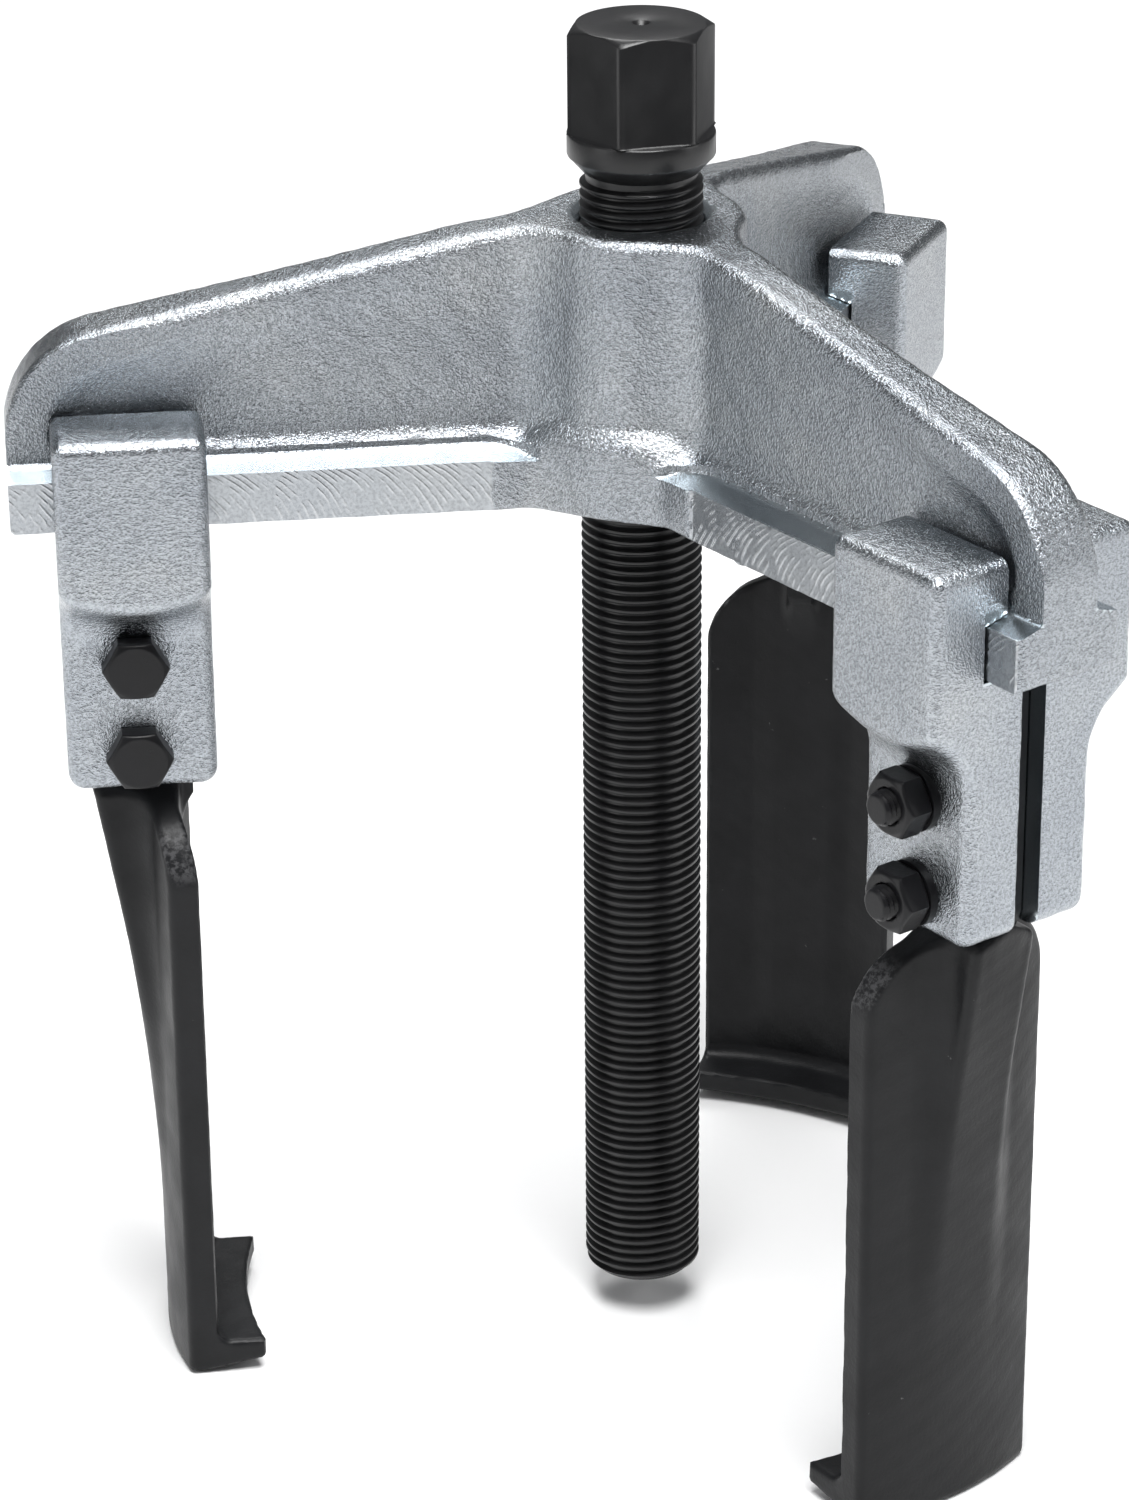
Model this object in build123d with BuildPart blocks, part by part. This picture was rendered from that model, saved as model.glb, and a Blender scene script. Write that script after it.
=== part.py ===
"""Three-arm gear puller: a forged crossbeam, a threaded pressure spindle and three clamped sliding legs.

The frame has +Z up. The origin is on the spindle axis, level with the three jaw ledges.
The arms point at 60, 180 and 300 degrees about +Z.
"""
from build123d import *
import math
import os

os.makedirs("parts", exist_ok=True)

# ---------------------------------------------------------------- driving dimensions, in millimetres
ARM_ANGLES = {"back": 60.0, "left": 180.0, "right": 300.0}

# crossbeam
REACH = 155.0                # from the jaw ledges up to the underside of the crossbeam
FLANGE_HEIGHT = 9.0          # height of the milled rail face
FLANGE_HALF_WIDTH = 10.5     # half the width across the two milled rail faces
ARM_LENGTH = 108.2           # from the spindle axis to the end of an arm
WEB_HALF_THICKNESS = 4.5
WEB_SLOPE_DEGREES = 12.1     # fall of the web's top edge towards the arm's end
WEB_END_RADIUS = 17.5        # round at the upper end corner of the web
WEB_END_CENTRE_HEIGHT = 7.5  # height of that round's centre above the rail
WEB_EDGE_RADIUS = 3.6
ARM_CORNER_RADIUS = 1.5      # rounding of the rail's upright corners at the arm's end
LEDGE_HALF_WIDTH = 5.6       # where the sloping top of the rail meets the web
LEDGE_RISE = 1.4
HUB_RADIUS = 17.8
HUB_HEIGHT = 39.5            # hub top above the rail
HUB_FOOT_RADIUS = 19.0
HUB_FOOT_HEIGHT = 4.0
HUB_EDGE_RADIUS = 2.5
HUB_COUNTERSINK_RADIUS = 12.0

# spindle, G 1/2 thread and 22 mm hexagon
THREAD_RADIUS = 20.955 / 2
THREAD_RUNNING_CLEARANCE = 0.05
SPINDLE_TIP_HEIGHT = 1.0     # spindle end above the jaw ledges
SPINDLE_TIP_CHAMFER = 1.4
COLLAR_CONE_BOTTOM = 210.8
COLLAR_BOTTOM = 213.7
COLLAR_TOP = 217.7
COLLAR_RADIUS = 12.5
HEX_TOP = 236.0
HEX_ACROSS_FLATS = 22.0
HEX_TURN_DEGREES = 6.6       # direction of the hexagon's first corner, with the spindle as stored
HEX_TOP_RADIUS = 10.75       # circle left by the chamfer on top of the hexagon
CENTRE_DRILL_RADIUS = 1.6
CENTRE_DRILL_DEPTH = 2.4
BALL_RADIUS = 4.0
BALL_STAND_OUT = 1.6         # how far the pressure ball stands out of the spindle's end
BALL_SEAT_CLEARANCE = 0.06

# legs
LEG_RADIUS = 88.0            # from the spindle axis to the middle of a leg, as stored
SHOE_HALF_LENGTH = 12.5
SHOE_BOTTOM = 108.5
PAD_OUTER = 21.0             # outer face of the thick upper pad
PLATE_OUTER = 13.0           # outer face of the lower plate
PAD_TOP_ABOVE_RAIL = 9.8
PAD_EDGE_BELOW_RAIL = 17.0
PAD_MIDDLE_BELOW_RAIL = 20.0
PAD_UNDERSIDE_DROP = 6.2     # fall of the pad's sloping underside from its outer face to the plate
LIP_TIP = 6.2                # tip of the lip that hooks over the rail
RAIL_SIDE_GAP = 0.3
RAIL_TOP_GAP = 0.12
RAIL_UNDER_GAP = 0.4
SHOE_EDGE_RADIUS = 2.2
SHANK_HALF_THICKNESS = 2.5
SHANK_INNER = -8.7           # from the middle of the leg, towards the spindle
SHANK_OUTER = 9.0
BLADE_HALF_WIDTH = 19.0
BLADE_OUTER_ARC = 56.0
BLADE_THICKNESS = 5.0
BLADE_SHOULDER_RADIUS = 12.0
BLADE_TOP = 108.0
RIB_HALF_WIDTH = 6.5
RIB_DEPTH = 9.2
RIB_BOTTOM = 51.0
HOOK_HEIGHT = 6.0            # from the jaw's foot up to its ledge
HOOK_TIP_HEIGHT = 3.7
HOOK_TIP = -14.6             # middle of the hook's tip, from the middle of the leg
HOOK_TIP_ARC = 75.0

# fasteners, M6
BOLT_OFFSET = 0.5
BOLT_HEIGHTS = {"upper": 131.5, "lower": 114.7}
BOLT_RADIUS = 2.95
BOLT_HOLE_RADIUS = 3.2
BOLT_STAND_OUT = 2.2         # bolt end beyond the nut
BOLT_END_CHAMFER = 0.6
BOLT_HEAD_HEIGHT = 4.0
BOLT_ACROSS_FLATS = 10.0
WASHER_RADIUS = 5.6
WASHER_HOLE_RADIUS = 3.1
WASHER_THICKNESS = 1.5
NUT_HEIGHT = 5.0
NUT_BORE_RADIUS = 3.02
HEX_CORNER_CUT = 0.45        # how much the chamfer takes off a bolt head's or nut's corners

# ---------------------------------------------------------------- derived heights and planes
RAIL_TOP = REACH + FLANGE_HEIGHT
HUB_TOP = RAIL_TOP + HUB_HEIGHT
PAD_TOP = RAIL_TOP + PAD_TOP_ABOVE_RAIL
PAD_EDGE_BOTTOM = RAIL_TOP - PAD_EDGE_BELOW_RAIL
PAD_MIDDLE_BOTTOM = RAIL_TOP - PAD_MIDDLE_BELOW_RAIL
PAD_STEP = PAD_OUTER - PLATE_OUTER
SHANK_TOP = REACH - 0.3


def leg_plane(arm):
    """Level plane at the middle of a leg: x points outwards along the arm, y anticlockwise round the spindle."""
    angle = math.radians(ARM_ANGLES[arm])
    outwards = Vector(math.cos(angle), math.sin(angle), 0)
    return Plane(origin=outwards * LEG_RADIUS, x_dir=outwards, z_dir=(0, 0, 1))


def across(plane):
    """Upright plane across the arm: x anticlockwise round the spindle, y up."""
    return Plane(origin=plane.origin, x_dir=plane.y_dir, z_dir=plane.x_dir)


def along(plane, offset=0.0):
    """Upright plane along the arm: x outwards, y up. It is moved sideways by offset, anticlockwise."""
    return Plane(origin=plane.origin + plane.y_dir * offset, x_dir=plane.x_dir, z_dir=plane.y_dir * -1)


def finish_part(builder, label):
    """Label a piece and write its STEP file."""
    builder.part.label = label
    export_step(builder.part, f"parts/{label}.step")


# ---------------------------------------------------------------- crossbeam
def web_outline():
    """Side outline of an arm's web, from the spindle axis outwards."""
    slope = math.radians(WEB_SLOPE_DEGREES)
    centre_x = ARM_LENGTH - WEB_END_RADIUS
    centre_z = RAIL_TOP + WEB_END_CENTRE_HEIGHT
    tangent = (centre_x + WEB_END_RADIUS * math.sin(slope), centre_z + WEB_END_RADIUS * math.cos(slope))
    middle_angle = math.radians(90 - WEB_SLOPE_DEGREES) / 2
    middle = (centre_x + WEB_END_RADIUS * math.cos(middle_angle),
              centre_z + WEB_END_RADIUS * math.sin(middle_angle))
    root_height = min(tangent[1] + math.tan(slope) * tangent[0], HUB_TOP + 4.0)
    root_x = tangent[0] - (root_height - tangent[1]) / math.tan(slope)
    return root_x, root_height, tangent, middle, (ARM_LENGTH, centre_z)


with BuildPart() as arm:
    root_x, root_height, tangent, middle, web_end = web_outline()
    with BuildSketch(Plane.XZ) as web_side:
        with BuildLine():
            Polyline((root_x, REACH + 1.0), (root_x, root_height), tangent)
            ThreePointArc(tangent, middle, web_end)
            Polyline(web_end, (ARM_LENGTH, REACH + 1.0), (root_x, REACH + 1.0))
        make_face()
    extrude(amount=WEB_HALF_THICKNESS, both=True)
    top_faces = [face for face in arm.faces() if face.normal_at().Z > 0.5 or face.geom_type == GeomType.CYLINDER]
    top_edges = [edge for face in top_faces for edge in face.edges()
                 if abs(abs(edge.center().Y) - WEB_HALF_THICKNESS) < 0.01]
    fillet(top_edges, radius=WEB_EDGE_RADIUS)
    # the rail under the web, with a top face that slopes up to the web
    with BuildSketch(Plane.YZ.offset(HUB_RADIUS - 6.0)) as rail_section:
        with BuildLine():
            Polyline(
                (-FLANGE_HALF_WIDTH, REACH), (FLANGE_HALF_WIDTH, REACH),
                (FLANGE_HALF_WIDTH, RAIL_TOP), (LEDGE_HALF_WIDTH, RAIL_TOP + LEDGE_RISE),
                (-LEDGE_HALF_WIDTH, RAIL_TOP + LEDGE_RISE), (-FLANGE_HALF_WIDTH, RAIL_TOP),
                close=True)
        make_face()
    extrude(amount=ARM_LENGTH - HUB_RADIUS + 6.0)
    corner_edges = arm.edges().filter_by(Axis.Z).filter_by_position(Axis.X, ARM_LENGTH - 0.1, ARM_LENGTH + 0.1)
    fillet([edge for edge in corner_edges if abs(abs(edge.center().Y) - FLANGE_HALF_WIDTH) < 0.1],
           radius=ARM_CORNER_RADIUS)

with BuildPart() as crossbeam:
    with PolarLocations(0, 3, start_angle=60):
        add(arm.part)
    with BuildSketch(Plane.XY.offset(REACH)) as hub_foot:
        Circle(HUB_FOOT_RADIUS)
    extrude(amount=FLANGE_HEIGHT + HUB_FOOT_HEIGHT)
    with BuildSketch(Plane.XZ) as hub_section:
        with BuildLine():
            Polyline((0, REACH), (HUB_RADIUS, REACH), (HUB_RADIUS, HUB_TOP - HUB_EDGE_RADIUS))
            RadiusArc((HUB_RADIUS, HUB_TOP - HUB_EDGE_RADIUS), (HUB_RADIUS - HUB_EDGE_RADIUS, HUB_TOP),
                      -HUB_EDGE_RADIUS)
            Polyline((HUB_RADIUS - HUB_EDGE_RADIUS, HUB_TOP), (0, HUB_TOP), (0, REACH))
        make_face()
    revolve(axis=Axis.Z)
    # nothing of the webs stands above the hub
    with BuildSketch(Plane.XY.offset(HUB_TOP)) as hub_face:
        Circle(HUB_RADIUS + 10.0)
    extrude(amount=20, mode=Mode.SUBTRACT)
    with Locations(Plane.XY.offset(HUB_TOP)):
        CounterSinkHole(THREAD_RADIUS + THREAD_RUNNING_CLEARANCE, HUB_COUNTERSINK_RADIUS,
                        depth=HUB_TOP - REACH, counter_sink_angle=90)
finish_part(crossbeam, "crossbeam")

# ---------------------------------------------------------------- spindle and pressure ball
BALL_CENTRE = SPINDLE_TIP_HEIGHT - BALL_STAND_OUT + BALL_RADIUS
BALL_SEAT_RADIUS = BALL_RADIUS + BALL_SEAT_CLEARANCE

with BuildPart() as spindle:
    with BuildSketch(Plane.XZ) as spindle_section:
        with BuildLine():
            Polyline(
                (0, SPINDLE_TIP_HEIGHT), (THREAD_RADIUS - SPINDLE_TIP_CHAMFER, SPINDLE_TIP_HEIGHT),
                (THREAD_RADIUS, SPINDLE_TIP_HEIGHT + SPINDLE_TIP_CHAMFER), (THREAD_RADIUS, COLLAR_CONE_BOTTOM),
                (COLLAR_RADIUS, COLLAR_BOTTOM), (COLLAR_RADIUS, COLLAR_TOP), (0, COLLAR_TOP),
                close=True)
        make_face()
    revolve(axis=Axis.Z)
    with BuildSketch(Plane.XY.offset(COLLAR_TOP)) as hexagon:
        RegularPolygon(HEX_ACROSS_FLATS / 2, 6, major_radius=False, rotation=HEX_TURN_DEGREES)
    extrude(amount=HEX_TOP - COLLAR_TOP)
    # the turned chamfer on top of the hexagon
    corner_radius = HEX_ACROSS_FLATS / math.sqrt(3)
    chamfer_depth = (corner_radius - HEX_TOP_RADIUS) * math.tan(math.radians(30))
    with BuildSketch(Plane.XZ) as hexagon_chamfer:
        with BuildLine():
            Polyline(
                (HEX_TOP_RADIUS, HEX_TOP), (corner_radius + 0.6, HEX_TOP - chamfer_depth * 1.3),
                (corner_radius + 0.6, HEX_TOP + 1), (HEX_TOP_RADIUS, HEX_TOP + 1),
                close=True)
        make_face()
    revolve(axis=Axis.Z, mode=Mode.SUBTRACT)
    with Locations(Plane.XY.offset(HEX_TOP)):
        CounterSinkHole(CENTRE_DRILL_RADIUS / 2, CENTRE_DRILL_RADIUS, depth=CENTRE_DRILL_DEPTH,
                        counter_sink_angle=60)
    # the seat that holds the ball by more than half of it
    with Locations((0, 0, BALL_CENTRE)):
        Sphere(BALL_SEAT_RADIUS, mode=Mode.SUBTRACT)
finish_part(spindle, "spindle")

with BuildPart() as pressure_ball:
    with Locations((0, 0, BALL_CENTRE)):
        Sphere(BALL_RADIUS)
finish_part(pressure_ball, "pressure_ball")


# ---------------------------------------------------------------- leg pieces
def make_jaw(arm_name):
    """A pulling jaw: flat shank, wide curved blade, tapering rib and inward hook."""
    plane = leg_plane(arm_name)
    arc_centre = -BLADE_OUTER_ARC
    inner_arc = BLADE_OUTER_ARC - BLADE_THICKNESS
    outer_edge = arc_centre + math.sqrt(BLADE_OUTER_ARC ** 2 - BLADE_HALF_WIDTH ** 2)
    inner_edge = arc_centre + math.sqrt(inner_arc ** 2 - BLADE_HALF_WIDTH ** 2)
    tip_centre = HOOK_TIP - HOOK_TIP_ARC
    tip_edge = tip_centre + math.sqrt(HOOK_TIP_ARC ** 2 - BLADE_HALF_WIDTH ** 2)
    width = BLADE_HALF_WIDTH
    with BuildPart() as jaw:
        with BuildSketch(plane.offset(-HOOK_HEIGHT)) as blade_plan:
            with BuildLine():
                ThreePointArc((outer_edge, -width), (0, 0), (outer_edge, width))
                Line((outer_edge, width), (inner_edge, width))
                ThreePointArc((inner_edge, width), (-BLADE_THICKNESS, 0), (inner_edge, -width))
                Line((inner_edge, -width), (outer_edge, -width))
            make_face()
        extrude(amount=BLADE_TOP + HOOK_HEIGHT)
        shoulders = jaw.edges().filter_by(GeomType.LINE).sort_by(Axis.Z)[-2:]
        fillet(shoulders, radius=BLADE_SHOULDER_RADIUS)
        with BuildSketch(plane.offset(-HOOK_HEIGHT)) as hook_plan:
            with BuildLine():
                ThreePointArc((tip_edge, -width), (HOOK_TIP, 0), (tip_edge, width))
                Line((tip_edge, width), (inner_edge, width))
                ThreePointArc((inner_edge, width), (-BLADE_THICKNESS, 0), (inner_edge, -width))
                Line((inner_edge, -width), (tip_edge, -width))
            make_face()
        extrude(amount=HOOK_HEIGHT)
        # the hook's underside rises towards its tip
        with BuildSketch(along(plane, width + 1)) as underside:
            with BuildLine():
                Polyline((tip_edge - 1, -HOOK_HEIGHT - 1), (-BLADE_THICKNESS - 1, -HOOK_HEIGHT - 1),
                         (-BLADE_THICKNESS - 1, -HOOK_HEIGHT), (tip_edge - 1, -HOOK_TIP_HEIGHT),
                         close=True)
            make_face()
        extrude(amount=2 * width + 2, mode=Mode.SUBTRACT)
        with BuildSketch(along(plane, RIB_HALF_WIDTH)) as rib_side:
            with BuildLine():
                Polyline((0, RIB_BOTTOM), (RIB_DEPTH, BLADE_TOP), (-BLADE_THICKNESS + 1, BLADE_TOP),
                         (-BLADE_THICKNESS + 1, RIB_BOTTOM), close=True)
            make_face()
        extrude(amount=2 * RIB_HALF_WIDTH)
        with BuildSketch(along(plane, SHANK_HALF_THICKNESS)) as shank_side:
            with BuildLine():
                Polyline((SHANK_INNER, BLADE_TOP - 8), (-BLADE_THICKNESS + 1, BLADE_TOP - 24),
                         (0, BLADE_TOP - 24), (SHANK_OUTER - 1, BLADE_TOP - 1), (SHANK_OUTER, SHANK_TOP),
                         (SHANK_INNER, SHANK_TOP), close=True)
            make_face()
        extrude(amount=2 * SHANK_HALF_THICKNESS)
        with BuildSketch(along(plane, SHANK_HALF_THICKNESS + 1)) as bolt_holes:
            with Locations(*[(BOLT_OFFSET, height) for height in BOLT_HEIGHTS.values()]):
                Circle(BOLT_HOLE_RADIUS)
        extrude(amount=2 * SHANK_HALF_THICKNESS + 2, mode=Mode.SUBTRACT)
    finish_part(jaw, f"jaw_{arm_name}")


def make_shoe(arm_name, side, label):
    """Half of a sliding clamp. side is +1 for the bolt-head half and -1 for the nut half."""
    plane = leg_plane(arm_name)
    inner = SHANK_HALF_THICKNESS
    wall = FLANGE_HALF_WIDTH + RAIL_SIDE_GAP
    ledge_slope = LEDGE_RISE / (FLANGE_HALF_WIDTH - LEDGE_HALF_WIDTH)
    lip_bottom = RAIL_TOP + RAIL_TOP_GAP + ledge_slope * (FLANGE_HALF_WIDTH - LIP_TIP)
    corners = [
        (inner, SHOE_BOTTOM), (PLATE_OUTER, SHOE_BOTTOM), (PLATE_OUTER, PAD_MIDDLE_BOTTOM - PAD_UNDERSIDE_DROP),
        (PAD_OUTER, PAD_MIDDLE_BOTTOM), (PAD_OUTER, PAD_TOP), (LIP_TIP, PAD_TOP), (LIP_TIP, lip_bottom),
        (wall, RAIL_TOP + RAIL_TOP_GAP), (wall, REACH - RAIL_UNDER_GAP), (inner, REACH - RAIL_UNDER_GAP)]
    with BuildPart() as shoe:
        with BuildSketch(across(plane)) as section:
            with BuildLine():
                Polyline(*[(side * x, z) for x, z in corners], close=True)
            make_face()
        extrude(amount=SHOE_HALF_LENGTH, both=True)
        # the pad's lower edge is an arc, lowest in the middle
        end = SHOE_HALF_LENGTH + 0.01
        with BuildSketch(along(plane, side * PAD_OUTER)) as pad_arc:
            with BuildLine():
                ThreePointArc((-end, PAD_EDGE_BOTTOM), (0, PAD_MIDDLE_BOTTOM), (end, PAD_EDGE_BOTTOM))
                Polyline((end, PAD_EDGE_BOTTOM), (end, PAD_MIDDLE_BOTTOM - 6), (-end, PAD_MIDDLE_BOTTOM - 6),
                         (-end, PAD_EDGE_BOTTOM))
            make_face()
        downwards = plane.y_dir * (-side * PAD_STEP) + Vector(0, 0, -PAD_UNDERSIDE_DROP)
        extrude(amount=downwards.length, dir=downwards, mode=Mode.SUBTRACT)
        uprights = [edge for edge in shoe.edges().filter_by(Axis.Z)
                    if edge.length > 20 and plane.to_local_coords(edge.center()).Y * side > PLATE_OUTER - 0.1]
        fillet(uprights, radius=SHOE_EDGE_RADIUS)
        with BuildSketch(along(plane, side * inner)) as bolt_holes:
            with Locations(*[(BOLT_OFFSET, height) for height in BOLT_HEIGHTS.values()]):
                Circle(BOLT_HOLE_RADIUS)
        extrude(amount=-side * (PLATE_OUTER - inner + 1), mode=Mode.SUBTRACT)
    finish_part(shoe, label)


def hexagon_blank(plane, height, across_flats):
    """Hexagon prism from plane along its normal, with the corners of its far end turned off."""
    corner = across_flats / math.sqrt(3)
    with BuildPart() as blank:
        with BuildSketch(plane):
            RegularPolygon(across_flats / 2, 6, major_radius=False, rotation=30)
        extrude(amount=height)
        turned = Plane(origin=plane.origin, x_dir=plane.x_dir, z_dir=plane.y_dir * -1)
        with BuildSketch(turned):
            with BuildLine():
                Polyline((0, -0.01), (corner + 0.1, -0.01), (corner + 0.1, height - HEX_CORNER_CUT),
                         (across_flats / 2 - 0.2, height), (0, height), close=True)
            make_face()
        revolve(axis=Axis(plane.origin, plane.z_dir), mode=Mode.INTERSECT)
    return blank.part


def fastener_plane(arm_name, height, distance, direction):
    """Plane across a bolt's axis, at a distance from the middle of the leg. Its normal is sideways."""
    plane = leg_plane(arm_name)
    origin = plane.origin + plane.x_dir * BOLT_OFFSET + plane.y_dir * distance + Vector(0, 0, height)
    return Plane(origin=origin, x_dir=(0, 0, 1), z_dir=plane.y_dir * direction)


def make_bolt(arm_name, place):
    """Hexagon-head bolt with its head on the anticlockwise side."""
    height = BOLT_HEIGHTS[place]
    shank_length = 2 * PLATE_OUTER + WASHER_THICKNESS + NUT_HEIGHT + BOLT_STAND_OUT
    head = hexagon_blank(fastener_plane(arm_name, height, PLATE_OUTER, 1), BOLT_HEAD_HEIGHT, BOLT_ACROSS_FLATS)
    with BuildPart() as bolt:
        add(head)
        with BuildSketch(fastener_plane(arm_name, height, PLATE_OUTER, -1)) as shank:
            Circle(BOLT_RADIUS)
        extrude(amount=shank_length)
        sideways = Axis(leg_plane(arm_name).origin, leg_plane(arm_name).y_dir)
        chamfer(bolt.edges().filter_by(GeomType.CIRCLE).sort_by(sideways)[0], length=BOLT_END_CHAMFER)
    finish_part(bolt, f"bolt_{arm_name}_{place}")


def make_washer(arm_name, place):
    """Round washer under a nut."""
    with BuildPart() as washer:
        with BuildSketch(fastener_plane(arm_name, BOLT_HEIGHTS[place], -PLATE_OUTER, -1)):
            Circle(WASHER_RADIUS)
            Circle(WASHER_HOLE_RADIUS, mode=Mode.SUBTRACT)
        extrude(amount=WASHER_THICKNESS)
    finish_part(washer, f"washer_{arm_name}_{place}")


def make_nut(arm_name, place):
    """Hexagon nut with its outer corners turned off."""
    seat = fastener_plane(arm_name, BOLT_HEIGHTS[place], -PLATE_OUTER - WASHER_THICKNESS, -1)
    blank = hexagon_blank(seat, NUT_HEIGHT, BOLT_ACROSS_FLATS)
    with BuildPart() as nut:
        add(blank)
        with BuildSketch(seat.offset(-0.5)):
            Circle(NUT_BORE_RADIUS)
        extrude(amount=NUT_HEIGHT + 1, mode=Mode.SUBTRACT)
    finish_part(nut, f"nut_{arm_name}_{place}")


for arm_name in ARM_ANGLES:
    make_jaw(arm_name)
    make_shoe(arm_name, 1, f"shoe_{arm_name}_bolt_side")
    make_shoe(arm_name, -1, f"shoe_{arm_name}_nut_side")
    for place in BOLT_HEIGHTS:
        make_bolt(arm_name, place)
        make_washer(arm_name, place)
        make_nut(arm_name, place)
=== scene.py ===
"""Looks of the three-arm gear puller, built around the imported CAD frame.

Shapes are distance fields in millimetres, meshed by dual contouring, and then put in place in metres.
"""
import math

import bmesh
import bpy
import numpy as np
from mathutils import Matrix, Vector


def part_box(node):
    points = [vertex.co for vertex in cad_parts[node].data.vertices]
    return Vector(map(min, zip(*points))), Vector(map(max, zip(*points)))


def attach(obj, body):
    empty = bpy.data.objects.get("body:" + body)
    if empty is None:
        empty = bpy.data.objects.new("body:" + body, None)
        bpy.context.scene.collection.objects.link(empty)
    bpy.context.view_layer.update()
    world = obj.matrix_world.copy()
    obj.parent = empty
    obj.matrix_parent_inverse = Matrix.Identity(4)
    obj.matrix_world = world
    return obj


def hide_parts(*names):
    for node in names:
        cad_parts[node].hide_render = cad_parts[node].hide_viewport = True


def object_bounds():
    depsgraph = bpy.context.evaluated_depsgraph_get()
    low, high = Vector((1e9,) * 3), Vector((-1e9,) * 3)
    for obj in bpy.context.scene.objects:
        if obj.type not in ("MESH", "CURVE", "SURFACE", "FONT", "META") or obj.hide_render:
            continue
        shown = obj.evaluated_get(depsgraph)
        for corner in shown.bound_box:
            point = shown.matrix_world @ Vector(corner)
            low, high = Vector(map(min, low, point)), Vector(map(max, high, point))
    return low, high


MM = 0.001

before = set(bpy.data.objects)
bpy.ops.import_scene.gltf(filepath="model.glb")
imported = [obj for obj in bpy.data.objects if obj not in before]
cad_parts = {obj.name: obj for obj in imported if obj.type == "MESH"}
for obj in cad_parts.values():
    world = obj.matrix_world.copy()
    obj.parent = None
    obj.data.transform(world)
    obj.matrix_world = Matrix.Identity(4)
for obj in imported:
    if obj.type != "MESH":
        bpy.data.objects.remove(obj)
cad_low, cad_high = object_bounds()

# ---------------------------------------------------------------- places, read from the frame
ARM_ANGLES = {"back": 60.0, "left": 180.0, "right": 300.0}
ARM_TURN = math.radians(120.0)
BLOCK = 4                      # a coarse cell of the sampling grid is this many fine cells wide


def node_box(name):
    """Lowest and highest corner of a CAD node, in millimetres."""
    low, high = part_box(name)
    return np.array(low) / MM, np.array(high) / MM


beam_low, beam_high = node_box("crossbeam")
spindle_low, spindle_high = node_box("spindle")
HUB_TOP = float(beam_high[2])
FLANGE_BOTTOM = float(beam_low[2])
ARM_LENGTH = float(-beam_low[0])
FLANGE_HEIGHT = 9.0
RAIL_TOP = FLANGE_BOTTOM + FLANGE_HEIGHT
HUB_HEIGHT = HUB_TOP - RAIL_TOP
BOLT_OFFSET = 0.5
BOLT_HOLE_RADIUS = 3.2
PLATE_OUTER = 13.0
WASHER_THICKNESS = 1.5
SHANK_HALF = 2.5
LEG_RADIUS = 88.0
BOLT_HEIGHTS = {}
for place in ("upper", "lower"):
    washer_low, washer_high = node_box(f"washer_left_{place}")
    BOLT_HEIGHTS[place] = float(washer_low[2] + washer_high[2]) / 2


# ---------------------------------------------------------------- distance-field tools, in millimetres
def round_max(radius, *distances):
    """Intersection of solids, with its convex edges rounded."""
    total = None
    inner = None
    for d in distances:
        q = d + radius
        part = np.maximum(q, 0.0) ** 2
        total = part if total is None else total + part
        inner = q if inner is None else np.maximum(inner, q)
    return np.sqrt(total) + np.minimum(inner, 0.0) - radius


def fillet_union(a, b, radius):
    """Union of two solids, with a fillet in the inner corner."""
    reach = np.sqrt(np.maximum(radius - a, 0.0) ** 2 + np.maximum(radius - b, 0.0) ** 2)
    return np.maximum(radius, np.minimum(a, b)) - reach


def ease(x):
    """Smooth step from 0 to 1."""
    x = np.clip(x, 0.0, 1.0)
    return x * x * (3.0 - 2.0 * x)


def sloped(height, slope):
    """Distance from a face that rises by slope, from the height above that face."""
    return height / math.hypot(1.0, slope)


def gradient(field, points, reach=0.02):
    """Slope of the field at the points, along each axis."""
    out = np.empty_like(points)
    for axis in range(3):
        step = np.zeros(3)
        step[axis] = reach
        out[:, axis] = (field(*(points + step).T) - field(*(points - step).T)) / (2 * reach)
    return out


def sample(field, low, counts, step):
    """Field values on the grid. Only the blocks near the surface are worked out in full."""
    blocks = counts // BLOCK
    centres = np.stack(np.meshgrid(*[np.arange(n) for n in blocks], indexing="ij"), -1).reshape(-1, 3)
    places = low + (centres * BLOCK + (BLOCK - 1) / 2) * step
    coarse = field(*places.T)
    near = np.abs(coarse) < BLOCK * step * 0.9 + 2 * step
    values = np.repeat(np.where(coarse < 0, -99.0, 99.0), BLOCK ** 3).reshape(-1, BLOCK ** 3)
    offsets = np.indices((BLOCK,) * 3).reshape(3, -1).T
    active = centres[near]
    fine = np.empty((len(active), BLOCK ** 3))
    for start in range(0, len(active), 4000):
        part = active[start:start + 4000, None, :] * BLOCK + offsets[None]
        where = low + part.reshape(-1, 3) * step
        fine[start:start + 4000] = field(*where.T).reshape(-1, BLOCK ** 3)
    values[near] = fine
    values = values.reshape(*blocks, BLOCK, BLOCK, BLOCK).transpose(0, 3, 1, 4, 2, 5)
    return values.reshape(*counts)


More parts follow.
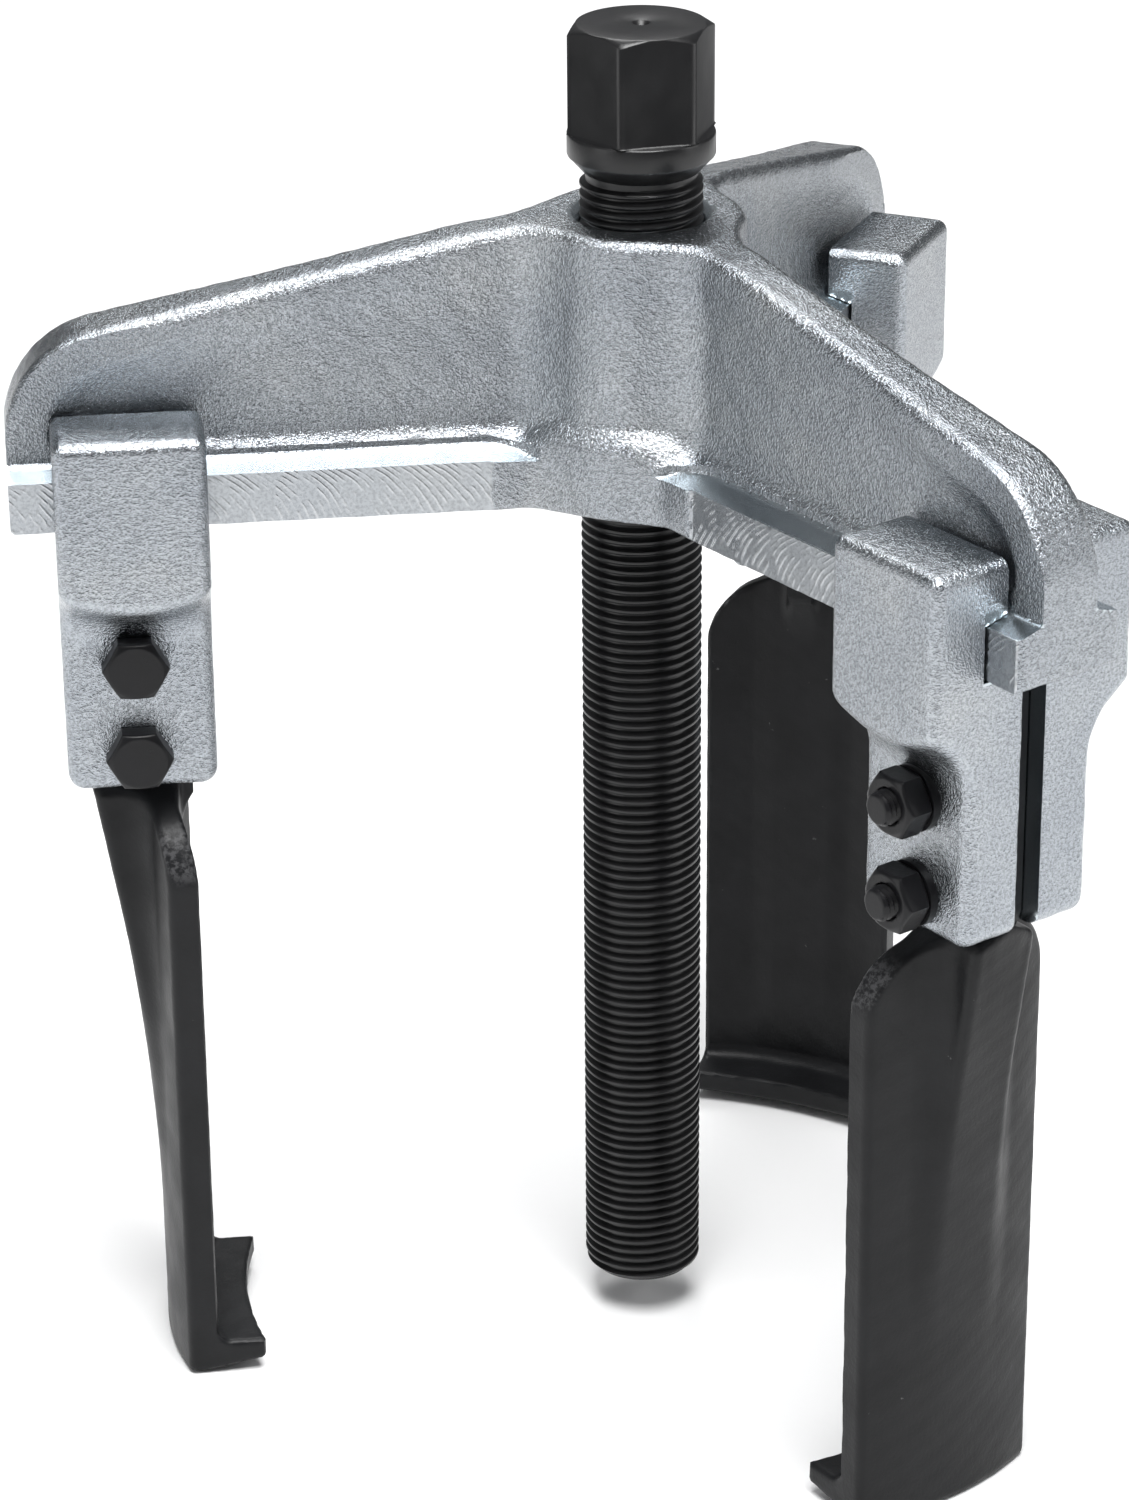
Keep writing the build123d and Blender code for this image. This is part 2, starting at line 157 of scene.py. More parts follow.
def contour(field, low, high, step):
    """Vertices and outward quads of the surface where the field is zero, by dual contouring."""
    low = np.array(low, float) - 1.5 * step
    high = np.array(high, float) + 1.5 * step
    counts = (np.ceil((high - low) / step / BLOCK).astype(int) + 1) * BLOCK
    values = sample(field, low, counts, step)
    inside = values < 0
    rings, flips, points = [], [], []
    for axis in range(3):
        b, c = (axis + 1) % 3, (axis + 2) % 3
        first = [slice(None)] * 3
        second = [slice(None)] * 3
        first[axis], second[axis] = slice(None, -1), slice(1, None)
        crossing = np.argwhere(inside[tuple(first)] != inside[tuple(second)])
        v0 = values[tuple(crossing.T)]
        after = crossing.copy()
        after[:, axis] += 1
        v1 = values[tuple(after.T)]
        place = low + crossing * step
        place[:, axis] += step * v0 / (v0 - v1)
        ring = []
        for db, dc in ((-1, -1), (0, -1), (0, 0), (-1, 0)):
            cell = crossing.copy()
            cell[:, b] += db
            cell[:, c] += dc
            ring.append((cell[:, 0] * counts[1] + cell[:, 1]) * counts[2] + cell[:, 2])
        points.append(place)
        rings.append(np.stack(ring, 1))
        flips.append(v0 >= 0)
    points = np.concatenate(points)
    rings = np.concatenate(rings)
    flips = np.concatenate(flips)
    for _ in range(2):
        slope = gradient(field, points)
        size = np.maximum((slope ** 2).sum(1), 0.05)
        move = -(field(*points.T) / size)[:, None] * slope
        points = points + np.clip(move, -step, step)
    normals = gradient(field, points)
    normals /= np.maximum(np.linalg.norm(normals, axis=1), 1e-6)[:, None]
    cells, index = np.unique(rings, return_inverse=True)
    index = index.reshape(rings.shape)
    flat = index.ravel()
    total = len(cells)
    spread_points = np.repeat(points, 4, 0)
    spread_normals = np.repeat(normals, 4, 0)
    number = np.bincount(flat, minlength=total)
    sums = np.stack([np.bincount(flat, spread_points[:, k], total) for k in range(3)], 1)
    mean = sums / number[:, None]
    offset = (spread_normals * (spread_points - mean[flat])).sum(1)
    matrix = np.zeros((total, 3, 3))
    right = np.zeros((total, 3))
    for i in range(3):
        right[:, i] = np.bincount(flat, spread_normals[:, i] * offset, total)
        for j in range(3):
            matrix[:, i, j] = np.bincount(flat, spread_normals[:, i] * spread_normals[:, j], total)
    matrix += 0.06 * np.eye(3)
    shift = np.linalg.solve(matrix, right[:, :, None])[:, :, 0]
    vertices = mean + shift
    cell_place = np.stack(np.unravel_index(cells, counts), 1)
    cell_low = low + cell_place * step
    vertices = np.clip(vertices, cell_low - 0.1 * step, cell_low + 1.1 * step)
    quads = np.where(flips[:, None], index[:, ::-1], index)
    return vertices, quads


def make_mesh(name, vertices, faces, sharp=38.0):
    """Smooth-shaded mesh in metres from millimetre vertices."""
    mesh = bpy.data.meshes.new(name)
    mesh.from_pydata((np.asarray(vertices) * MM).tolist(), [], np.asarray(faces).tolist())
    mesh.validate()
    mesh.shade_smooth()
    mesh.set_sharp_from_angle(angle=math.radians(sharp))
    mesh.update()
    return mesh


def set_face_mask(mesh, name, mask):
    layer = mesh.attributes.new(name, "FLOAT", "FACE")
    layer.data.foreach_set("value", np.asarray(mask, np.float32))


def face_centres(mesh):
    out = np.empty(len(mesh.polygons) * 3, np.float32)
    mesh.polygons.foreach_get("center", out)
    return out.reshape(-1, 3) / MM


def place_piece(name, mesh, body, matrix=None, replaced=()):
    piece = bpy.data.objects.new(name, mesh)
    bpy.context.scene.collection.objects.link(piece)
    if matrix is not None:
        piece.matrix_world = matrix
    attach(piece, body)
    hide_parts(*replaced)
    return piece


# ---------------------------------------------------------------- crossbeam
BEAM_CELL = 0.72               # size of a fine cell of the sampling grid
WEB_HALF = 4.4
WEB_SLOPE = math.radians(12.1)
WEB_END_RADIUS = 19.0
WEB_END_HEIGHT = 5.8
WEB_EDGE = 2.5
RIM_START = 58.0               # the web's edge is thickened, more so from here outwards
RIM_LENGTH = 40.0
RIM_THIN = 0.5
RIM_GROWTH = 1.5
RIM_DEPTH = 11.0
RIM_BLEND = 8.0
RAIL_START = 27.0
RAIL_HALF = 10.5
FLANGE_HALF = 10.95
FLANGE_RISE = 2.6              # height of the flange's top at FLANGE_INNER, from where it falls outwards
FLANGE_INNER = 5.0
FLANGE_SLOPE = 0.24
FLANGE_EDGE = 1.5
WEB_FILLET = 2.6
WEB_END_FILLET = 8.0           # added to the fillet at the arm's end
WEB_END_START = 98.0
WEB_END_LENGTH = 9.0
ARM_END_EDGE = 1.6
ARM_FILLET = 6.0
LEDGE_START = 27.8
LEDGE_CUTTER = 10.0
LEDGE_HALF = 5.6
LEDGE_RISE = 1.4
LEDGE_SLOPE = LEDGE_RISE / (RAIL_HALF - LEDGE_HALF)
LEDGE_EDGE = 0.7
HUB_RADIUS = 17.8
HUB_ZONE = 60.0                # inside this radius a point may belong to two arms
HUB_FILLET = 6.5
HUB_TOP_EDGE = 2.2
BOTTOM_EDGE = 1.1
FOOT_RADIUS = 20.0
FOOT_HEIGHT = 5.2
FOOT_EDGE = 2.8
FOOT_FILLET = 3.0
BORE_RADIUS = 10.6
COUNTERSINK_RADIUS = 12.0
CUT_EDGE = 0.25
BEAM_WAVE = 11.0
BEAM_UNEVENNESS = 0.10


def arm_field(u, t, w):
    """One forged arm. u runs outwards, t sideways from its middle plane, w up from the rail top."""
    sin, cos = math.sin(WEB_SLOPE), math.cos(WEB_SLOPE)
    du, dw = u - (ARM_LENGTH - WEB_END_RADIUS), w - WEB_END_HEIGHT
    corner = (du * cos - dw * sin > 0) & (dw > 0)
    outline = np.where(corner, np.hypot(du, dw), np.maximum(du * sin + dw * cos, du)) - WEB_END_RADIUS
    rim = RIM_THIN + RIM_GROWTH * ease((u - RIM_START) / RIM_LENGTH)
    rim = rim * ease((outline + RIM_DEPTH) / RIM_BLEND)
    web = round_max(WEB_EDGE, outline, t - (WEB_HALF + rim))
    flange_top = FLANGE_RISE - FLANGE_SLOPE * (t - FLANGE_INNER)
    flange = round_max(FLANGE_EDGE, t - FLANGE_HALF, sloped(w - flange_top, FLANGE_SLOPE))
    fillet = WEB_FILLET + WEB_END_FILLET * ease((u - WEB_END_START) / WEB_END_LENGTH)
    return round_max(ARM_END_EDGE, fillet_union(web, flange, fillet), u - ARM_LENGTH)


def waviness(x, y, z, size):
    """Slow unevenness of a forged face."""
    k = 2 * math.pi / size
    first = np.sin(k * x + 1.3 * np.sin(k * 0.7 * y)) * np.sin(k * 0.9 * y + 0.8)
    first = first * np.sin(k * 0.8 * z + 0.4)
    second = np.sin(k * 1.9 * (x + z) + 2.0) * np.sin(k * 1.7 * (y - 0.6 * z) + 0.3)
    return 0.6 * first + 0.4 * second


def arm_coordinates(x, y):
    """Radius, and the angle from the middle of the nearest arm."""
    angle = np.arctan2(y, x) - math.radians(ARM_ANGLES["back"])
    near = angle - ARM_TURN * np.round(angle / ARM_TURN)
    return np.hypot(x, y), near


def ledge_height(t):
    """Height of the milled ledge above the rail's top edge, rising towards the web."""
    return LEDGE_SLOPE * (RAIL_HALF - t)


def ledge_reach(u, t):
    """Plan view of the milled ledge: a slot whose inner end is round, as the cutter leaves it."""
    return np.hypot(np.minimum(u - LEDGE_START, 0.0), t - LEDGE_HALF - LEDGE_CUTTER) - LEDGE_CUTTER


def crossbeam_field(x, y, z):
    """The whole forging: three arms, hub and foot, then the milled rails, ledges and bore."""
    w = z - RAIL_TOP
    r, near = arm_coordinates(x, y)
    u, t = r * np.cos(near), np.abs(r * np.sin(near))
    body = arm_field(u, t, w)
    inner = r < HUB_ZONE
    r_inner = r[inner]
    other = ARM_TURN - np.abs(near[inner])
    second = arm_field(r_inner * np.cos(other), np.abs(r_inner * np.sin(other)), w[inner])
    body[inner] = fillet_union(body[inner], second, ARM_FILLET)
    body = fillet_union(body, r - HUB_RADIUS, HUB_FILLET)
    foot = round_max(FOOT_EDGE, r - FOOT_RADIUS, w - FOOT_HEIGHT)
    body = fillet_union(body, foot, FOOT_FILLET)
    body = round_max(HUB_TOP_EDGE, body, w - HUB_HEIGHT)
    body = round_max(BOTTOM_EDGE, body, -FLANGE_HEIGHT - w)
    body = body + BEAM_UNEVENNESS * waviness(x, y, z, BEAM_WAVE)
    side = np.maximum(RAIL_HALF - t, RAIL_START - u)
    ledge = round_max(LEDGE_EDGE, ledge_reach(u, t), sloped(ledge_height(t) - w, LEDGE_SLOPE))
    body = np.maximum(body, -np.minimum(side, ledge))
    bore = np.minimum(r - BORE_RADIUS, sloped(r - COUNTERSINK_RADIUS + (HUB_HEIGHT - w), 1.0))
    body = np.maximum(body, -bore)
    return round_max(CUT_EDGE, body, w - HUB_HEIGHT, -FLANGE_HEIGHT - w)


def make_crossbeam():
    """The forging's mesh, with masks for the milled faces and each point's place along its arm."""
    vertices, quads = contour(crossbeam_field, beam_low, beam_high, BEAM_CELL)
    vertices = np.clip(vertices, beam_low, beam_high)
    mesh = make_mesh("crossbeam_forging", vertices, quads)
    centre = face_centres(mesh)
    r, near = arm_coordinates(centre[:, 0], centre[:, 1])
    u, t, w = r * np.cos(near), np.abs(r * np.sin(near)), centre[:, 2] - RAIL_TOP
    milled = (u > RAIL_START) & (np.abs(t - RAIL_HALF) < 0.22) & (w < 0.05)
    ledge = (ledge_reach(u, t) < 0.1) & (np.abs(w - ledge_height(t)) < 0.2)
    bore = (r < COUNTERSINK_RADIUS + 0.4) & (w > -FLANGE_HEIGHT + 0.1)
    set_face_mask(mesh, "milled", milled)
    set_face_mask(mesh, "smooth_cut", ledge | bore)
    vertex_r, vertex_near = arm_coordinates(vertices[:, 0], vertices[:, 1])
    arm_place = np.stack([vertex_r * np.cos(vertex_near), vertex_r * np.sin(vertex_near),
                          vertices[:, 2] - RAIL_TOP], 1)
    layer = mesh.attributes.new("arm_place", "FLOAT_VECTOR", "POINT")
    layer.data.foreach_set("vector", arm_place.astype(np.float32).ravel())
    return mesh


# ---------------------------------------------------------------- shoes
SHOE_CELL = 0.5
SHOE_HALF_LENGTH = 12.8
SHOE_BOTTOM = 108.0
SHOE_EDGE = 2.1
SHOE_CORNER = 3.0
SHOE_WAVE = 9.0
SHOE_UNEVENNESS = 0.07
PAD_HALF_WIDTH = 21.0
PAD_TOP = RAIL_TOP + 10.2
PAD_BOTTOM = RAIL_TOP - 20.0   # at the pad's outer face, in the middle of its arched lower edge
PAD_ARCH = 3.0
PAD_ARCH_HALF = 12.5
PAD_UNDER_SLOPE = 0.775
PAD_UNDER_EDGE = 1.2
PLATE_TOP = 150.0
PLATE_FILLET = 3.5
POCKET_FLOOR = 154.6
RAIL_POCKET_HALF = 10.8
WEB_POCKET_HALF = 6.2
LIP_CLEARANCE = 0.12


def shoe_field(side):
    """Half of a clamp. x runs outwards along the arm from the leg's middle, y sideways, z up."""
    def field(x, y, z):
        t = side * y
        arch = PAD_BOTTOM + PAD_ARCH * (x / PAD_ARCH_HALF) ** 2
        under = sloped(arch - (PAD_HALF_WIDTH - t) * PAD_UNDER_SLOPE - z, PAD_UNDER_SLOPE)
        pad = round_max(SHOE_EDGE, t - PAD_HALF_WIDTH, z - PAD_TOP)
        pad = round_max(PAD_UNDER_EDGE, pad, under)
        section = fillet_union(pad, np.maximum(t - PLATE_OUTER, z - PLATE_TOP), PLATE_FILLET)
        ends = round_max(SHOE_CORNER, np.abs(x) - SHOE_HALF_LENGTH, SHOE_BOTTOM - z)
        body = round_max(SHOE_EDGE, section, ends)
        body = body + SHOE_UNEVENNESS * waviness(x + 31.0 * side, y, z, SHOE_WAVE)
        body = round_max(0.35, body, SHANK_HALF - t)
        lip = RAIL_TOP + LIP_CLEARANCE + ledge_height(t)
        rail_pocket = np.maximum(t - RAIL_POCKET_HALF, POCKET_FLOOR - z)
        rail_pocket = np.maximum(rail_pocket, sloped(z - lip, LEDGE_SLOPE))
        web_pocket = np.maximum(t - WEB_POCKET_HALF, POCKET_FLOOR - z)
        body = round_max(0.45, body, -np.minimum(rail_pocket, web_pocket))
        for height in BOLT_HEIGHTS.values():
            body = np.maximum(body, BOLT_HOLE_RADIUS - np.hypot(x - BOLT_OFFSET, z - height))
        return body

    return field


def make_shoe(side, name):
    """A clamp half. side is 1 where the bolt heads are and -1 where the nuts are."""
    y_low, y_high = sorted((side * SHANK_HALF, side * PAD_HALF_WIDTH))
    low = (-SHOE_HALF_LENGTH, y_low, SHOE_BOTTOM)
    high = (SHOE_HALF_LENGTH, y_high, PAD_TOP)
    vertices, quads = contour(shoe_field(side), low, high, SHOE_CELL)
    mesh = make_mesh(name, np.clip(vertices, low, high), quads)
    centre = face_centres(mesh)
    t, z = np.abs(centre[:, 1]), centre[:, 2]
    cut = (z > POCKET_FLOOR - 0.6) & (t < RAIL_POCKET_HALF + 0.1) & (z < RAIL_TOP + 2.6)
    cut |= np.abs(t - SHANK_HALF) < 0.1
    set_face_mask(mesh, "milled", np.zeros(len(centre)))
    set_face_mask(mesh, "smooth_cut", cut)
    return mesh


# ---------------------------------------------------------------- jaws
JAW_CELL = 0.62
JAW_INNER = -17.2              # the hook's side corners reach no further in than this
JAW_EDGE = 1.1
JAW_WAVE = 13.0
JAW_UNEVENNESS = 0.06
BLADE_TOP = 108.0
BLADE_ARC = 56.0
BLADE_THICKNESS = 5.0
BLADE_HALF_WIDTH = 19.0
SHOULDER_SLOPE = 0.51
SHOULDER_RADIUS = 7.0
RIB_HALF = 6.5
RIB_BOTTOM = 51.0
RIB_INNER = -4.0
RIB_SLOPE = 9.2 / (BLADE_TOP - RIB_BOTTOM)
RIB_EDGE = 1.6
RIB_FILLET = 5.0
SHANK_TOP = 154.7
SHANK_BOTTOM = 80.0
SHANK_INNER = -8.7
SHANK_INNER_END = 102.0        # below this height the shank's inner edge tapers towards the blade
SHANK_INNER_SLOPE = 0.62
SHANK_OUTER = 9.0
SHANK_OUTER_END = 84.0
SHANK_OUTER_SLOPE = 0.348
SHANK_EDGE = 0.5
SHANK_FILLET = 3.0
HOOK_TIP = -14.6
HOOK_ARC = 75.0
HOOK_EDGE = 0.7
HOOK_FILLET = 2.4
HOOK_HEIGHT = 6.0
HOOK_UNDER_START = -6.0
HOOK_UNDER_SLOPE = 0.191


def jaw_field(x, y, z):
    """Pulling jaw. x runs outwards from the leg's middle, y sideways, z up from the hook's ledge."""
    side = np.abs(y)
    arc = np.hypot(x + BLADE_ARC, y) - BLADE_ARC
    blade = np.maximum(arc, -BLADE_THICKNESS - arc)
    rib_face = sloped(x - RIB_SLOPE * (z - RIB_BOTTOM), RIB_SLOPE)
    rib = round_max(RIB_EDGE, side - RIB_HALF, rib_face, RIB_INNER - x)
    body = fillet_union(blade, rib, RIB_FILLET)
    taper = SHANK_INNER_SLOPE * np.maximum(SHANK_INNER_END - z, 0.0)
    shank_in = sloped(SHANK_INNER + taper - x, SHANK_INNER_SLOPE)
    shank_out = sloped(x - SHANK_OUTER_SLOPE * (z - SHANK_OUTER_END), SHANK_OUTER_SLOPE)
    shank_out = np.maximum(x - SHANK_OUTER, shank_out)
    shank = round_max(SHANK_EDGE, side - SHANK_HALF, shank_in, shank_out, z - SHANK_TOP, SHANK_BOTTOM - z)
    body = fillet_union(body, shank, SHANK_FILLET)
    tip = HOOK_ARC - np.hypot(x - HOOK_TIP + HOOK_ARC, y)
    hook = round_max(HOOK_EDGE, tip, arc + 2.0, z)
    body = fillet_union(body, hook, HOOK_FILLET)
    shoulder = sloped(z - BLADE_TOP + SHOULDER_SLOPE * side, SHOULDER_SLOPE)
    ends = round_max(SHOULDER_RADIUS, side - BLADE_HALF_WIDTH, shoulder)
    rise = HOOK_UNDER_SLOPE * np.maximum(HOOK_UNDER_START - x, 0.0)
    underside = sloped(rise - HOOK_HEIGHT - z, HOOK_UNDER_SLOPE)
    body = round_max(JAW_EDGE, body, ends, underside)
    body = body + JAW_UNEVENNESS * waviness(x, y, z, JAW_WAVE)
    body = np.minimum(body, shank)
    for height in BOLT_HEIGHTS.values():
        body = np.maximum(body, BOLT_HOLE_RADIUS - np.hypot(x - BOLT_OFFSET, z - height))
    return body


def make_jaw():
    low = (JAW_INNER, -BLADE_HALF_WIDTH, -HOOK_HEIGHT)
    high = (SHANK_OUTER + 0.4, BLADE_HALF_WIDTH, SHANK_TOP)
    vertices, quads = contour(jaw_field, low, high, JAW_CELL)
    return make_mesh("pulling_jaw", np.clip(vertices, low, high), quads)


# ---------------------------------------------------------------- fasteners
FASTENER_CELL = 0.27
FASTENER_HALF_FLATS = 5.0
FASTENER_CORNER = 5.8
FASTENER_EDGE = 0.3
CROWN_SLOPE = 0.62             # the turned chamfer on the corners of a bolt head or nut
CROWN_EDGE = 0.25
BOLT_HEAD_HEIGHT = 4.0
BOLT_LENGTH = 34.7
BOLT_RADIUS = 2.95
BOLT_PITCH = 1.0
BOLT_THREAD_START = 18.0
BOLT_THREAD_DEPTH = 0.55
BOLT_END_CHAMFER = 0.6
NUT_HEIGHT = 5.0
NUT_BORE_RADIUS = 3.03
NUT_CHAMFER_RADIUS = 3.4


def hexagon_distance(a, b, half_flats):
    """Distance from a hexagon whose flats face up and down the b axis."""
    a, b = np.abs(a), np.abs(b)
    return np.maximum(b, a * math.sqrt(0.75) + b * 0.5) - half_flats


def crown(height, r, start):
    """Face across the fastener's axis that falls away outside the radius start."""
    return sloped(height + CROWN_SLOPE * np.maximum(r - start, 0.0), CROWN_SLOPE)


def bolt_field(x, y, z):
    """Hexagon bolt along x: its head sits on the +x side of x = 0."""
    r = np.hypot(y, z)
    head = round_max(FASTENER_EDGE, hexagon_distance(y, z, FASTENER_HALF_FLATS), -x)
    head = round_max(CROWN_EDGE, head, crown(x - BOLT_HEAD_HEIGHT, r, 4.55))
    phase = x / BOLT_PITCH - np.arctan2(z, y) / (2 * math.pi)
    ridge = 1.0 - 2.0 * np.abs(phase - np.round(phase))
    cut = BOLT_THREAD_DEPTH * ease((-BOLT_THREAD_START - x) / 0.5)
    cut = cut * ease((x + BOLT_LENGTH + 0.2) / 0.8)
    thread = (r - BOLT_RADIUS + cut * ridge) * 0.8
    end = sloped(r - BOLT_RADIUS + BOLT_END_CHAMFER - BOLT_LENGTH - x, 1.0)
    shank = round_max(0.2, thread, x - 2.0, -BOLT_LENGTH - x, end)
    return np.minimum(head, shank)


def nut_field(x, y, z):
    """Hexagon nut along x, from x = 0 out to x = -NUT_HEIGHT."""
    r = np.hypot(y, z)
    outer = -NUT_HEIGHT - x
    body = round_max(FASTENER_EDGE, hexagon_distance(y, z, FASTENER_HALF_FLATS), outer, x)
    body = round_max(CROWN_EDGE, body, crown(outer, r, 4.5), crown(x, r, 4.9))
    body = np.maximum(body, NUT_BORE_RADIUS - r)
    return np.maximum(body, sloped(NUT_CHAMFER_RADIUS + outer - r, 1.0))


def make_fastener(name, field, x_low, x_high):
    low = (x_low, -FASTENER_CORNER, -FASTENER_CORNER)
    high = (x_high, FASTENER_CORNER, FASTENER_CORNER)
    return make_mesh(name, *contour(field, low, high, FASTENER_CELL))


# ---------------------------------------------------------------- spindle
THREAD_RADIUS = 20.955 / 2
THREAD_PITCH = 1.8143
COLUMNS = 90                   # columns of vertices around the thread
THREAD_PROFILE = (0.0, -0.06, -0.62, -1.06, -1.13, -1.06, -0.62, -0.06)
THREAD_NECK = 1.05             # how much smaller than the thread the neck under the collar is
TIP_HEIGHT = float(spindle_low[2])
TIP_CHAMFER = 1.4
BALL_CENTRE = 3.4
SEAT_RADIUS = 4.06
SEAT_RINGS = 7
HEX_TURN = math.radians(6.6)   # direction of the hexagon's first corner
HEX_TOP = float(spindle_high[2])
HEX_BOTTOM = 217.8
HEX_HALF_FLATS = 11.0
HEX_CORNER = 12.66
HEX_TOP_RADIUS = 10.75         # where the chamfer of the hexagon's top begins
COLLAR_CONE = 210.8
COLLAR_LOW = 213.45
COLLAR_HIGH = 217.75
COLLAR_RADIUS = 12.5


def add_ring(mesh, ring, radius, height, angles):
    """Extrude the ring of edges to a new radius and height, which may vary with the angle."""
    radius = np.broadcast_to(radius, angles.shape)
    height = np.broadcast_to(height, angles.shape)
    new = [mesh.verts.new((float(r * math.cos(a)), float(r * math.sin(a)), float(h)))
           for r, h, a in zip(radius, height, angles)]
    for i in range(len(ring)):
        j = (i + 1) % len(ring)
        mesh.faces.new((ring[i], ring[j], new[j], new[i]))
    return new


def ring_at(mesh, height):
    """The vertices of the trimmed thread's open end, in order of angle."""
    found = [v for v in mesh.verts if abs(v.co.z - height) < 1e-4 and v.is_boundary]
    return sorted(found, key=lambda v: math.atan2(v.co.y, v.co.x))


def close_end(mesh, rings, height, down):
    """Close one end of the thread with rings, each a radius and a height or functions of the angle."""
    ring = ring_at(mesh, height)
    angles = np.array([math.atan2(v.co.y, v.co.x) for v in ring])
    if down:
        ring, angles = ring[::-1], angles[::-1]
    for radius, ring_height in rings:
        if callable(radius):
            radius, ring_height = radius(angles), ring_height(angles)
        ring = add_ring(mesh, ring, radius, ring_height, angles)
    mesh.faces.new(ring)


def thread_grid():
    """Vertices and faces of a bare helical thread, longer at both ends than the spindle needs."""
    rows_per_turn = len(THREAD_PROFILE)
    low, high = TIP_HEIGHT - 2 * THREAD_PITCH, COLLAR_CONE + THREAD_PITCH
    rows = int((high - low) / THREAD_PITCH * rows_per_turn)
    angles = HEX_TURN + np.arange(COLUMNS) * 2 * math.pi / COLUMNS
    i, j = np.meshgrid(np.arange(rows), np.arange(COLUMNS), indexing="ij")
    height = low + THREAD_PITCH * (i / rows_per_turn + j / COLUMNS)
    radius = THREAD_RADIUS + np.array(THREAD_PROFILE)[i % rows_per_turn]
    chamfer = THREAD_RADIUS - TIP_CHAMFER + (height - TIP_HEIGHT)
    radius = np.minimum(radius, np.maximum(chamfer, THREAD_RADIUS - TIP_CHAMFER - 0.2))
    fade = ease((height - (COLLAR_CONE - 1.6)) / 0.9)
    radius = radius * (1 - fade) + (THREAD_RADIUS - THREAD_NECK) * fade
    x, y = radius * np.cos(angles[j]), radius * np.sin(angles[j])
    vertices = np.stack([x, y, height], -1).reshape(-1, 3)
    faces = []
    for row in range(rows - 1):
        for column in range(COLUMNS - 1):
            a = row * COLUMNS + column
            faces.append((a, a + 1, a + 1 + COLUMNS, a + COLUMNS))
        if row + 1 + rows_per_turn < rows:
            a = row * COLUMNS + COLUMNS - 1
            b = (row + rows_per_turn) * COLUMNS
            faces.append((a, b, b + COLUMNS, a + COLUMNS))
    return vertices, faces


def tip_rings():
    """The spindle's lower end: a flat face with a round seat around the pressure ball."""
    opening = math.sqrt(SEAT_RADIUS ** 2 - (BALL_CENTRE - TIP_HEIGHT) ** 2)
    first = math.asin((TIP_HEIGHT + 0.1 - BALL_CENTRE) / SEAT_RADIUS)
    last = math.radians(84)
    rings = [(opening + 0.15, TIP_HEIGHT), (opening, TIP_HEIGHT + 0.1)]
    for step in range(1, SEAT_RINGS + 1):
        angle = first + (last - first) * step / SEAT_RINGS
        rings.append((SEAT_RADIUS * math.cos(angle), BALL_CENTRE + SEAT_RADIUS * math.sin(angle)))
    return rings


def hexagon(grow):
    """The hexagon's radius by angle, with its corners turned off, grown outwards by grow."""
    def radius(a):
        turned = (a - HEX_TURN) % math.radians(60) - math.radians(30)
        return np.minimum((HEX_HALF_FLATS + grow) / np.cos(turned), HEX_CORNER + grow)

    return radius


def level(height):
    return lambda a: np.full(a.shape, height)


def chamfered(offset):
    """Height by angle of the edge that the top's chamfer cuts into the hexagon's sides."""
    full = hexagon(0.0)
    return lambda a: HEX_TOP - (full(a) - HEX_TOP_RADIUS) * math.tan(math.radians(30)) + offset


def head_rings():
    """Collar, hexagon and top face with its centre hole, from the thread's neck upwards."""
    neck = [(THREAD_RADIUS - 1.0, COLLAR_CONE + 0.05), (THREAD_RADIUS - 0.5, COLLAR_CONE + 0.25)]
    collar = [(COLLAR_RADIUS - 0.4, COLLAR_LOW), (COLLAR_RADIUS - 0.1, COLLAR_LOW + 0.27),
              (COLLAR_RADIUS, COLLAR_LOW + 0.5), (COLLAR_RADIUS, COLLAR_HIGH - 0.45),
              (COLLAR_RADIUS - 0.1, COLLAR_HIGH - 0.15), (COLLAR_RADIUS - 0.35, COLLAR_HIGH)]
    sides = [(hexagon(0.25), level(HEX_BOTTOM)), (hexagon(0.0), level(HEX_BOTTOM + 0.3)),
             (hexagon(0.0), chamfered(-0.25)), (hexagon(-0.12), chamfered(0.0))]
    top = [(10.95, HEX_TOP - 0.1), (10.6, HEX_TOP)]
    centre_hole = [(1.7, HEX_TOP), (1.45, HEX_TOP - 0.12), (0.25, HEX_TOP - 2.2)]
    return neck + collar + sides + top + centre_hole


def make_spindle():
    vertices, faces = thread_grid()
    mesh = bpy.data.meshes.new("spindle_thread")
    mesh.from_pydata(vertices.tolist(), [], faces)
    work = bmesh.new()
    work.from_mesh(mesh)
    for height, direction in ((TIP_HEIGHT, -1), (COLLAR_CONE, 1)):
        everything = list(work.verts) + list(work.edges) + list(work.faces)
        bmesh.ops.bisect_plane(work, geom=everything, dist=1e-5, plane_co=(0, 0, height),
                               plane_no=(0, 0, direction), clear_outer=True)
    loose = [v for v in work.verts if not v.link_faces]
    bmesh.ops.delete(work, geom=loose, context="VERTS")
    close_end(work, tip_rings(), TIP_HEIGHT, True)
    close_end(work, head_rings(), COLLAR_CONE, False)
    bmesh.ops.scale(work, vec=(MM, MM, MM), verts=work.verts)
    work.to_mesh(mesh)
    work.free()
    mesh.shade_smooth()
    mesh.set_sharp_from_angle(angle=math.radians(50))
    return mesh


